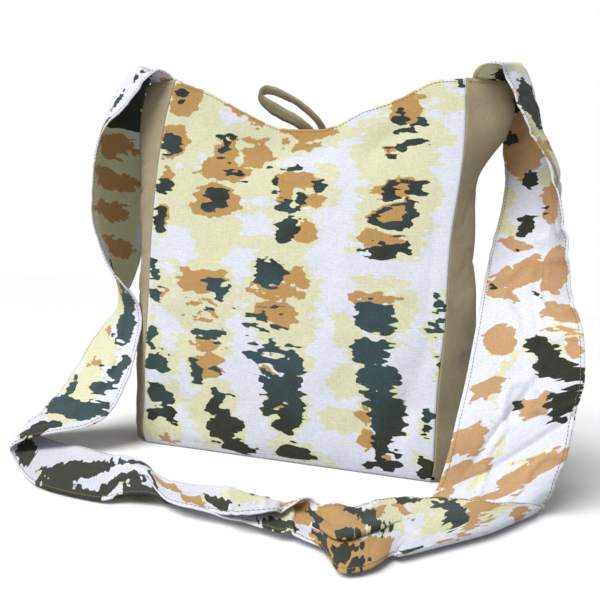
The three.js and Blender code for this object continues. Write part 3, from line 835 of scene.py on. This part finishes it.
def base_points(across, y, z):
    """Points of the rounded base edges and the flat base."""
    inset = HALF_DEPTH - BASE_RADIUS + PANEL_WALL
    inside = np.clip(y / inset, -1, 1)
    swell = np.where(np.abs(y) < inset, swell_shape(inside, SEAMS["round"][0]), 0)
    x = across * (HALF_WIDTH + SEAMS["left_swell"][0] * swell)
    return np.stack(np.broadcast_arrays(x, y, z), -1)


def tucked_in(points):
    """Points with the body's lower edges drawn in, as filled-out cloth rounds off at its base."""
    low = np.exp(-(points[..., 2] / BASE_TUCK_HEIGHT) ** 2)
    across, deep = BASE_TUCK_IN
    return points * np.stack([1 - across * low, 1 - deep * low, np.ones(low.shape)], -1)


def panel_grid():
    """Outer points of front, base and back in one cloth, from the front mouth edge to the back one."""
    across = np.linspace(-1, 1, PANEL_COLUMNS + 1)[None, :]
    share = np.linspace(1, 0, FACE_STEPS + 1)[:, None]
    flat = HALF_DEPTH - BASE_RADIUS
    turn = (np.pi / 2) * np.linspace(0, 1, CORNER_STEPS + 1)[1:, None]
    depth = flat * np.linspace(-1, 1, BASE_STEPS + 1)[1:-1, None]
    corner_y = flat + BASE_RADIUS * np.cos(turn)
    corner_z = BASE_RADIUS * (1 - np.sin(turn))
    across, share = np.broadcast_arrays(across, share)
    line = across[:1]
    return tucked_in(np.concatenate([
        face_points("front", across, share),
        base_points(line, -corner_y, corner_z),
        base_points(line, depth, np.zeros_like(depth)),
        base_points(line, corner_y[::-1], corner_z[::-1]),
        face_points("back", across, share[::-1]),
    ]))


def panel_cloth(outer):
    """Cloth coordinates of the body panel: across, and up the front, negative under the base and behind."""
    across = np.broadcast_to(np.linspace(-1, 1, PANEL_COLUMNS + 1) * HALF_WIDTH, outer.shape[:2])
    steps = np.linalg.norm(np.diff(outer, axis=0), axis=-1)
    run = np.concatenate([np.zeros((1, outer.shape[1])), np.cumsum(steps, 0)])
    front = np.arange(outer.shape[0])[:, None] <= FACE_STEPS
    return np.stack([across, np.where(front, outer[..., 2], run[FACE_STEPS] - run)], -1)


def panel_surface():
    """The body panel's outer points with their ripples, their normals and their cloth coordinates."""
    outer = panel_grid()
    normals = grid_normals(outer)
    cloth = panel_cloth(outer)
    across, up = cloth[..., 0], cloth[..., 1]
    side = np.abs(across / HALF_WIDTH)
    low = np.exp(-np.abs(outer[..., 2]) / BODY_CREASE_HEIGHT)
    share = BODY_CREASE_LEAST + (1 - BODY_CREASE_LEAST) * low * side ** BODY_CREASE_POWER
    height = rippled(across, up, BODY_RIPPLES, SEEDS["body ripples"])
    height = height + share * creased(across, up, BODY_CREASE, SEEDS["body creases"])
    free = (1 - side ** SEAM_STIFFNESS) * np.clip(outer[..., 2] / BODY_FLAT_HEIGHT, 0, 1)
    return outer + normals * (height * free)[..., None], normals, cloth


def base_inside(y):
    """Inner height of the base cloth at a depth, where a gusset's lower edge sits."""
    over = np.maximum(np.abs(y) - (HALF_DEPTH - BASE_RADIUS), 0)
    inner = BASE_RADIUS - PANEL_WALL
    return BASE_RADIUS - np.sqrt(np.maximum(0, inner ** 2 - over ** 2))


def gusset_face(side, inset):
    """One face of a side gusset: its wall is inset from the ridge and from both seams."""
    v = side * np.linspace(-1, 1, GUSSET_STEPS + 1)[:, None]
    level = np.linspace(0, 1, GUSSET_LEVELS + 1)[None, :]
    bottom = base_inside(v * HALF_DEPTH) + SEAM_GAP
    z = bottom + (HEIGHT - bottom) * level
    seam = rows_where(SEAMS, "z", z)
    edge = seam["right"] if side > 0 else -seam["left"]
    swell = (seam["right_swell"] if side > 0 else seam["left_swell"]) - inset
    end = inset * math.sqrt(2)
    y = seam["front"] + end + (seam["back"] - seam["front"] - 2 * end) * (v + 1) / 2
    ripple = rippled(v * HALF_DEPTH, z + side * HEIGHT, GUSSET_RIPPLES, SEEDS["gusset ripples"])
    ripple = ripple + creased(v * HALF_DEPTH, z + side * HEIGHT, GUSSET_CREASE, SEEDS["gusset creases"])
    ripple = ripple * (1 - v ** GUSSET_SEAM_POWER)
    x = side * (edge + SEAM_GAP + swell * swell_shape(v, seam["round"]) + ripple)
    return tucked_in(np.stack([x, y, z], -1))


def strap_grid(place, share):
    """Middle points of the strap at row places, across from the far edge at -1 to the near edge at 1."""
    row = {name: column[:, None] for name, column in smooth_rows(STRAP, place).items()}
    near = heading(row["near_turn"], row["near_tip"])
    far = heading(row["far_turn"], row["far_tip"])
    closed = (1 + np.sum(near * far, -1, keepdims=True)) / 2
    apart = unit(near - far) * closed * LAYER_RISE
    reach = (share[None, :] + 1) / 2
    s = (reach * (row["near_length"] + row["far_length"]) - row["far_length"])[..., None]
    round_off = row["round"][..., None]
    root = np.hypot(s, round_off)
    ridge = np.stack([row["x"], row["y"], row["z"]], -1)
    return ridge + near * (root + s - round_off) / 2 + far * (root - s - round_off) / 2 + apart * s / root


def strap_surface():
    """The strap's top and under faces, its normals, cloth coordinates and row places."""
    rows = len(STRAP["x"]) - 1
    place = np.linspace(0, rows, rows * STRAP_STEPS_PER_ROW + 1)
    share = np.linspace(-1, 1, STRAP_COLUMNS + 1)
    grid = strap_grid(place, share)
    run = run_length(grid[:, STRAP_COLUMNS // 2])
    along, across = np.meshgrid(run, share * STRAP_HALF_WIDTH, indexing="ij")
    edge = (1 - np.abs(share)) * STRAP_HALF_WIDTH
    pucker = PUCKER_DEPTH * lattice_noise(along / PUCKER_STEP, np.sign(across), SEEDS["strap puckers"])
    soft = np.interp(place, STRAP_CREASED["place"], STRAP_CREASED["share"])[:, None]
    height = rippled(across, along, STRAP_RIPPLES, SEEDS["strap ripples"])
    height = height + creased(across, along, STRAP_CREASE, SEEDS["strap creases"])
    height = height * soft + pucker * np.exp(-(edge / PUCKER_REACH) ** 2)
    free = np.clip(grid[..., 2] / STRAP_FREE_HEIGHT, STRAP_FLAT_SHARE, 1)
    raised, overhang = tucked(across, along, (place, run))
    sideways = unit(np.gradient(grid, axis=1))
    grid = grid + grid_normals(grid) * (height * free + raised)[..., None] - sideways * overhang[..., None]
    normals = grid_normals(grid)
    wall = STRAP_WALL - (STRAP_WALL - STRAP_EDGE_WALL) * np.exp(-(edge / STRAP_EDGE_TAPER) ** 2)
    half = normals * (wall / 2)[None, :, None]
    return grid + half, grid - half, normals, np.stack([across, along], -1), place


def add(tree, kind, inputs=(), output=0, **settings):
    """Output of a new shader node with its settings and inputs: a socket is linked, and a value is set."""
    node = tree.nodes.new(kind)
    for name, value in settings.items():
        setattr(node, name, value)
    for key, value in dict(inputs).items():
        if isinstance(value, bpy.types.NodeSocket):
            tree.links.new(value, node.inputs[key])
        else:
            node.inputs[key].default_value = value
    return node.outputs[output]


def blend(tree, share, first, second, **settings):
    """Colour between two colours, or what a blend type makes of them."""
    return add(tree, "ShaderNodeMix", {0: share, 6: first, 7: second}, 2, data_type="RGBA", **settings)


def ranged(tree, value, low, high, to_low=0, to_high=1):
    """A value taken from one range to another, and held inside it."""
    return add(tree, "ShaderNodeMapRange", {0: value, 1: low, 2: high, 3: to_low, 4: to_high})


def sum_of(tree, first, second):
    """Two values added up."""
    return add(tree, "ShaderNodeMath", {0: first, 1: second}, operation="ADD")


def new_material(name):
    """A new material, its node tree and the inputs of its shader."""
    material = bpy.data.materials.new(name)
    material.use_nodes = True
    return material, material.node_tree, material.node_tree.nodes["Principled BSDF"].inputs


def ink_colour(tree, look, cells):
    """Colour of the print: each ink over the last one, ragged as printing leaves it on a slubby weave."""
    brown = add(tree, "ShaderNodeAttribute", output="Fac", attribute_name="brown")
    patchy = {0: cells["mottle"], 1: OLIVE_MOTTLE, 2: brown}
    brown = add(tree, "ShaderNodeMath", patchy, operation="MULTIPLY_ADD")
    olive = ranged(tree, brown, OLIVE_FROM, OLIVE_TO)
    dark = blend(tree, olive, look.teal, look.olive)
    # The body has no such attribute, which counts as 0
    peach = add(tree, "ShaderNodeAttribute", output="Fac", attribute_name="peach")
    ochre = blend(tree, peach, look.ochre, look.peach)
    reach = GRAIN_REACH * MM
    grain = ranged(tree, cells["grain"], 0, 1, -reach, reach)
    colour = look.ground
    for ink, tone in (("green", look.green), ("ochre", ochre), ("dark", dark)):
        depth = add(tree, "ShaderNodeAttribute", output="Fac", attribute_name=ink)
        depth = sum_of(tree, depth, grain)
        for cell, reaches in (("barbs", BARB_REACH), ("nibbles", NIBBLE_REACH)):
            reach = reaches[ink] * MM
            ragged = ranged(tree, cells[cell], NOISE_LOW, NOISE_HIGH, -reach, reach)
            depth = sum_of(tree, depth, ragged)
        cover = ranged(tree, depth, -INK_EDGE * MM, INK_EDGE * MM)
        strength = ranged(tree, cells["grain"], THIN_FROM, THIN_TO, 1, THINNEST_INK[ink])
        cover = add(tree, "ShaderNodeMath", {0: cover, 1: strength}, operation="MULTIPLY")
        colour = blend(tree, cover, colour, tone)
    return colour


def canvas(name, printed):
    """Plain-weave cotton canvas: crossing threads with slubs under matte ink or a plain khaki dye."""
    look = bpy.context.scene.bag_cloth
    material, tree, shader = new_material(name)
    cloth = add(tree, "ShaderNodeUVMap", uv_map="cloth")
    cells = {}
    for cell, wide, high in CANVAS_CELLS:
        scale = (1 / (wide * MM), 1 / (high * MM), 1)
        place = add(tree, "ShaderNodeVectorMath", {0: cloth, 1: scale}, operation="MULTIPLY")
        cells[cell] = add(tree, "ShaderNodeTexNoise", {"Vector": place, "Scale": 1, "Detail": NOISE_DETAIL})
    if printed:
        colour = ink_colour(tree, look, cells)
    else:
        patchy = ranged(tree, cells["mottle"], NOISE_LOW, NOISE_HIGH)
        colour = blend(tree, patchy, look.khaki, look.khaki_shade)
    # Thick and thin threads darken and lighten the cloth in fine streaks both ways
    tone = 1
    for cell, depth in THREAD_TONES:
        tone = sum_of(tree, tone, ranged(tree, cells[cell], NOISE_LOW, NOISE_HIGH, -depth, depth))
    grey = add(tree, "ShaderNodeCombineColor", {0: tone, 1: tone, 2: tone})
    colour = blend(tree, 1, colour, grey, blend_type="MULTIPLY")
    scale = 2 * math.pi / (WAVE_BANDS * look.thread_pitch)
    threads = {"Vector": cloth, "Scale": scale, "Distortion": WEAVE_BEND}
    warp = add(tree, "ShaderNodeTexWave", threads, "Fac", bands_direction="X")
    weft = add(tree, "ShaderNodeTexWave", threads, "Fac", bands_direction="Y")
    slubs = {0: cells["slub_weft"], 1: SLUB_RELIEF, 2: sum_of(tree, warp, weft)}
    weave = add(tree, "ShaderNodeMath", slubs, operation="MULTIPLY_ADD")
    relief = {"Height": weave, "Strength": WEAVE_STRENGTH, "Distance": WEAVE_DEPTH * MM}
    bump = add(tree, "ShaderNodeBump", relief)
    rough = ranged(tree, cells["slub_weft"], NOISE_LOW, NOISE_HIGH, *CANVAS_ROUGHNESS)
    for socket, value in (("Base Color", colour), ("Normal", bump), ("Roughness", rough)):
        tree.links.new(value, shader[socket])
    shader["Sheen Weight"].default_value = CANVAS_SHEEN
    shader["Sheen Roughness"].default_value = CANVAS_SHEEN_ROUGHNESS
    shader["Specular IOR Level"].default_value = CANVAS_SPECULAR
    return material


def sewing_thread(name):
    """Waxed cotton thread: twisted plies that go lighter and darker along the stitch."""
    material, tree, shader = new_material(name)
    place = add(tree, "ShaderNodeTexCoord", output="Object")
    plies = add(tree, "ShaderNodeTexNoise", {"Vector": place, "Scale": 1 / (PLY_LENGTH * MM)})
    dark = tuple(bpy.context.scene.bag_stitching.colour)
    light = tuple(min(1, PLY_LIGHTER * part) for part in dark)
    tree.links.new(blend(tree, plies, dark, light), shader["Base Color"])
    shader["Roughness"].default_value = THREAD_ROUGHNESS
    return material


def finish(name):
    """The named material, made at its first use."""
    if name in bpy.data.materials:
        return bpy.data.materials[name]
    if name == "cotton_thread_waxed":
        return sewing_thread(name)
    return canvas(name, name == "cotton_canvas_printed")


class BAG_OT_body_panel(bpy.types.Operator):
    """Front, base and back in one printed canvas, lined with khaki"""
    bl_idname = "bag.body_panel"
    bl_label = "Body panel"

    def execute(self, context):
        outer, normals, cloth = panel_surface()
        across, up = cloth[..., 0], cloth[..., 1]
        unseen = scattered(up.min(), -BASE_RADIUS, -HALF_WIDTH, HALF_WIDTH, SEEDS["body scatter"])
        chart = joined_charts(FRONT_CHART, table(CHART_COLUMNS, unseen))
        fields = ink_fields(across, up, chart, BODY_FRINGE, SEEDS["body print"])
        fields["brown"] = np.interp(outer[..., 2], BODY_BROWN["up"], BODY_BROWN["share"])
        inks = {ink: np.concatenate([field, field]) for ink, field in fields.items()}
        materials = [finish("cotton_canvas_printed"), finish("cotton_canvas_khaki")]
        inner = outer - normals * PANEL_WALL
        piece = cloth_mesh("body_panel_cloth", outer, inner, cloth, materials, 1, inks)
        dressed(piece, "body_panel")
        return {"FINISHED"}


class BAG_OT_gussets(bpy.types.Operator):
    """Plain khaki sides with a soft outward ridge that the strap pulls out at the top"""
    bl_idname = "bag.gussets"
    bl_label = "Gussets"

    def execute(self, context):
        for node, side in (("gusset_left", -1), ("gusset_right", 1)):
            outer = gusset_face(side, 0)
            run = np.linspace(-1, 1, GUSSET_STEPS + 1)[:, None] * HALF_DEPTH
            cloth = np.stack(np.broadcast_arrays(run, outer[..., 2]), -1)
            materials = [finish("cotton_canvas_khaki")]
            piece = cloth_mesh(node + "_cloth", outer, gusset_face(side, GUSSET_WALL), cloth, materials)
            dressed(piece, node)
        return {"FINISHED"}


def strap_print(face, cloth, place):
    """Depths inside the inks and shares of the tints over one face of the strap."""
    across, along = cloth[..., 0], cloth[..., 1]
    chart = dict(STRAP_CHARTS[face])
    chart["across"] = chart["share"] * STRAP_HALF_WIDTH
    chart["up"] = np.interp(chart["place"], place, along[:, 0])
    unseen = []
    for k, (low, high, left, right) in enumerate(STRAP_SCATTERED[face]):
        ends = np.interp((low, high), place, along[:, 0])
        sides = left * STRAP_HALF_WIDTH, right * STRAP_HALF_WIDTH
        unseen += scattered(*ends, *sides, SEEDS["strap scatter " + face] + k)
    chart = joined_charts(chart, table(CHART_COLUMNS, unseen))
    fields = ink_fields(across, along, chart, STRAP_FRINGE, SEEDS["strap print " + face])
    for tint in ("brown", "peach"):
        share = np.interp(place, STRAP_TINTS["place"], STRAP_TINTS[tint])
        fields[tint] = np.broadcast_to(share[:, None], along.shape)
    return fields


class BAG_OT_strap(bpy.types.Operator):
    """One wide printed band from gusset top to gusset top, folded where it lies on the floor"""
    bl_idname = "bag.strap"
    bl_label = "Strap"

    def execute(self, context):
        top, under, _, cloth, place = strap_surface()
        print_top = strap_print("top", cloth, place)
        print_under = strap_print("under", cloth, place)
        # The hem turns the print of both faces over each edge
        hem = np.abs(cloth[..., 0]) == STRAP_HALF_WIDTH
        inks = {}
        for ink in print_top:
            both = print_top[ink], print_under[ink]
            turned = np.maximum(*both)
            inks[ink] = np.concatenate([np.where(hem, turned, field) for field in both])
        piece = cloth_mesh("strap_cloth", top, under, cloth, [finish("cotton_canvas_printed")], inks=inks)
        dressed(piece, "strap")
        return {"FINISHED"}


class BAG_OT_closure_loop(bpy.types.Operator):
    """A turned khaki cloth loop on the back panel's top edge"""
    bl_idname = "bag.closure_loop"
    bl_label = "Closure loop"

    def execute(self, context):
        count = (len(LOOP["x"]) - 1) * LOOP_STEPS_PER_ROW
        row = smooth_rows(LOOP, np.linspace(0, len(LOOP["x"]) - 1, count + 1))
        middle = np.stack([row["x"], row["y"], row["z"]], -1)
        run = run_length(middle)[:, None]
        travel = unit(np.gradient(middle, axis=0))
        wide = heading(row["turn"], row["tip"])
        wide = unit(wide - travel * np.sum(wide * travel, -1, keepdims=True))
        thick = np.cross(travel, wide)
        angle = 2 * np.pi * np.arange(LOOP_SIDES)[None, :] / LOOP_SIDES
        creased_share = 1 - LOOP_CREASE * np.exp(-((np.cos(angle) / LOOP_CREASE_WIDTH) ** 2))
        puff = 1 + LOOP_PUFF * lattice_noise(run / LOOP_PUFF_LENGTH, np.cos(angle), SEEDS["loop"])
        a = (LOOP_WIDTH / 2) * row["wider"][:, None] * np.cos(angle) * puff
        b = (LOOP_THICKNESS / 2) * row["thicker"][:, None] * np.sin(angle) * creased_share * puff
        rings = middle[:, None] + wide[:, None] * a[..., None] + thick[:, None] * b[..., None]
        ids = np.arange(rings.shape[0] * LOOP_SIDES).reshape(-1, LOOP_SIDES)
        turned = np.roll(ids, -1, axis=1)
        sides = np.stack([ids[:-1], turned[:-1], turned[1:], ids[1:]], -1).reshape(-1, 4).tolist()
        faces = sides + [ids[0][::-1].tolist(), ids[-1].tolist()]
        flat = np.stack(np.broadcast_arrays(angle * LOOP_WIDTH / np.pi, run), -1).reshape(-1, 2)
        points = rings.reshape(-1, 3)
        piece = mesh_piece("closure_loop_cloth", points, faces, flat, [finish("cotton_canvas_khaki")])
        dressed(piece, "closure_loop")
        return {"FINISHED"}


def stitch_line(curve, path, normals, sewing):
    """Short bowed threads laid along a path of points in millimetres."""
    path = path * MM
    run = run_length(path)
    lift = STITCH_BOW["rise"] * sewing.radius
    for start in np.arange(sewing.pitch, run[-1] - sewing.pitch, sewing.pitch):
        at = start + STITCH_BOW["share"] * sewing.length
        points = np.stack([np.interp(at, run, path[:, k]) for k in range(3)], -1)
        raised = np.stack([np.interp(at, run, normals[:, k]) for k in range(3)], -1)
        points = points + raised * lift[:, None]
        spline = curve.splines.new("POLY")
        spline.points.add(len(points) - 1)
        spline.points.foreach_set("co", np.c_[points, np.ones(len(points))].ravel())


def column_at(values, share):
    """A line of a grid at a fractional column."""
    k = share * (values.shape[1] - 1)
    low = min(int(k), values.shape[1] - 2)
    return values[:, low] * (1 - k + low) + values[:, low + 1] * (k - low)


class BAG_OT_stitching(bpy.types.Operator):
    """Topstitching along the strap's edges, the mouth and the gusset tops"""
    bl_idname = "bag.stitching"
    bl_label = "Stitching"

    def execute(self, context):
        sewing = context.scene.bag_stitching
        curve = bpy.data.curves.new("stitching", "CURVE")
        curve.dimensions = "3D"
        curve.bevel_depth = sewing.radius
        curve.bevel_resolution = 0
        curve.use_fill_caps = True
        inset = sewing.inset / (2 * STRAP_HALF_WIDTH * MM)
        top, under, normals, _, _ = strap_surface()
        for face, side in ((top, 1), (under, -1)):
            for share in (inset, 1 - inset):
                stitch_line(curve, column_at(face, share), side * column_at(normals, share), sewing)
        outer, normals, _ = panel_surface()
        drop = max(1, round(sewing.inset / MM * FACE_STEPS / HEIGHT))
        for line in (drop, -1 - drop):
            stitch_line(curve, outer[line], normals[line], sewing)
        level = 1 - sewing.inset / MM / HEIGHT
        for side in (-1, 1):
            face = gusset_face(side, 0)
            stitch_line(curve, column_at(face, level), column_at(grid_normals(face), level), sewing)
        piece = bpy.data.objects.new("stitching", curve)
        context.scene.collection.objects.link(piece)
        bpy.ops.object.select_all(action="DESELECT")
        piece.select_set(True)
        context.view_layer.objects.active = piece
        bpy.ops.object.convert(target="MESH")
        piece = context.view_layer.objects.active
        piece.data.materials.clear()
        piece.data.materials.append(finish("cotton_thread_waxed"))
        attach(piece, "root")
        return {"FINISHED"}


def to_the_back(turn, drop):
    """Direction from the front to the back, with a turn to the right and a drop as angles."""
    return Vector((math.sin(turn) * math.cos(drop), math.cos(turn) * math.cos(drop), -math.sin(drop)))


class BAG_OT_stage(bpy.types.Operator):
    """Pale floor, soft studio light and the camera"""
    bl_idname = "bag.stage"
    bl_label = "Stage"

    def execute(self, context):
        stage = context.scene.bag_stage
        self.add_floor(context, stage)
        self.add_surround(context, stage)
        bpy.ops.object.light_add(type="SUN")
        key = context.object
        key.name = "key"
        key.data.energy = stage.key
        key.data.angle = stage.key_spread
        beam = to_the_back(stage.key_turn, stage.key_rise)
        key.rotation_euler = beam.to_track_quat("-Z", "Y").to_euler()
        forward = to_the_back(-stage.azimuth, stage.elevation)
        data = bpy.data.cameras.new("camera")
        data.lens = stage.lens
        data.sensor_width = stage.sensor
        camera = bpy.data.objects.new("camera", data)
        context.scene.collection.objects.link(camera)
        turn = forward.to_track_quat("-Z", "Y").to_matrix().to_4x4() @ Matrix.Rotation(stage.roll, 4, "Z")
        camera.matrix_world = Matrix.Translation(Vector(stage.target) - forward * stage.distance) @ turn
        context.scene.camera = camera
        context.scene.view_settings.view_transform = "Standard"
        return {"FINISHED"}

    def add_floor(self, context, stage):
        """A pale floor that throws less light on the bag than it shows."""
        bpy.ops.object.select_all(action="DESELECT")
        bpy.ops.mesh.primitive_plane_add(size=FLOOR_SIZE)
        floor = context.object
        floor.name = "floor"
        # Matte painted board with a faint grain
        material, tree, shader = new_material("studio_floor_matte")
        place = add(tree, "ShaderNodeTexCoord", output="Object")
        grain = add(tree, "ShaderNodeTexNoise", {"Vector": place, "Scale": FLOOR_GRAIN})
        pale = tuple(stage.floor)
        shade = tuple(FLOOR_SHADE * part for part in pale)
        board = blend(tree, grain, pale, shade)
        seen = add(tree, "ShaderNodeLightPath", output="Is Camera Ray")
        dim = tuple(FLOOR_FILL * part for part in pale)
        tree.links.new(blend(tree, seen, dim, board), shader["Base Color"])
        shader["Roughness"].default_value = FLOOR_ROUGHNESS
        floor.data.materials.append(material)

    def add_surround(self, context, stage):
        """A white surround that is a weaker light than it shows."""
        world = bpy.data.worlds.new("studio")
        context.scene.world = world
        world.use_nodes = True
        tree = world.node_tree
        seen = add(tree, "ShaderNodeLightPath", output="Is Camera Ray")
        strength = ranged(tree, seen, 0, 1, stage.sky, stage.backdrop)
        background = tree.nodes["Background"].inputs
        background["Color"].default_value = (1, 1, 1, 1)
        tree.links.new(strength, background["Strength"])


OPERATORS = (
    BAG_OT_body_panel,
    BAG_OT_gussets,
    BAG_OT_strap,
    BAG_OT_closure_loop,
    BAG_OT_stitching,
    BAG_OT_stage,
)


class BAG_PT_pieces(bpy.types.Panel):
    """Buttons for each piece of the bag"""
    bl_idname = "BAG_PT_pieces"
    bl_label = "Crossbody bag"
    bl_space_type = "VIEW_3D"
    bl_region_type = "UI"
    bl_category = "Bag"

    def draw(self, context):
        for operator in OPERATORS:
            self.layout.operator(operator.bl_idname)


SETTINGS = {"bag_cloth": BagCloth, "bag_stitching": BagStitching, "bag_stage": BagStage}
CLASSES = (*SETTINGS.values(), *OPERATORS, BAG_PT_pieces)


def register():
    for item in CLASSES:
        bpy.utils.register_class(item)
    for name, group in SETTINGS.items():
        setattr(bpy.types.Scene, name, bpy.props.PointerProperty(type=group))


def unregister():
    for name in SETTINGS:
        delattr(bpy.types.Scene, name)
    for item in reversed(CLASSES):
        bpy.utils.unregister_class(item)


def main():
    """Build the bag and its stage."""
    register()
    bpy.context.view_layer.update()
    bpy.ops.bag.body_panel()
    bpy.ops.bag.gussets()
    bpy.ops.bag.strap()
    bpy.ops.bag.closure_loop()
    bpy.ops.bag.stitching()
    bpy.ops.bag.stage()


if __name__ == "__main__":
    main()
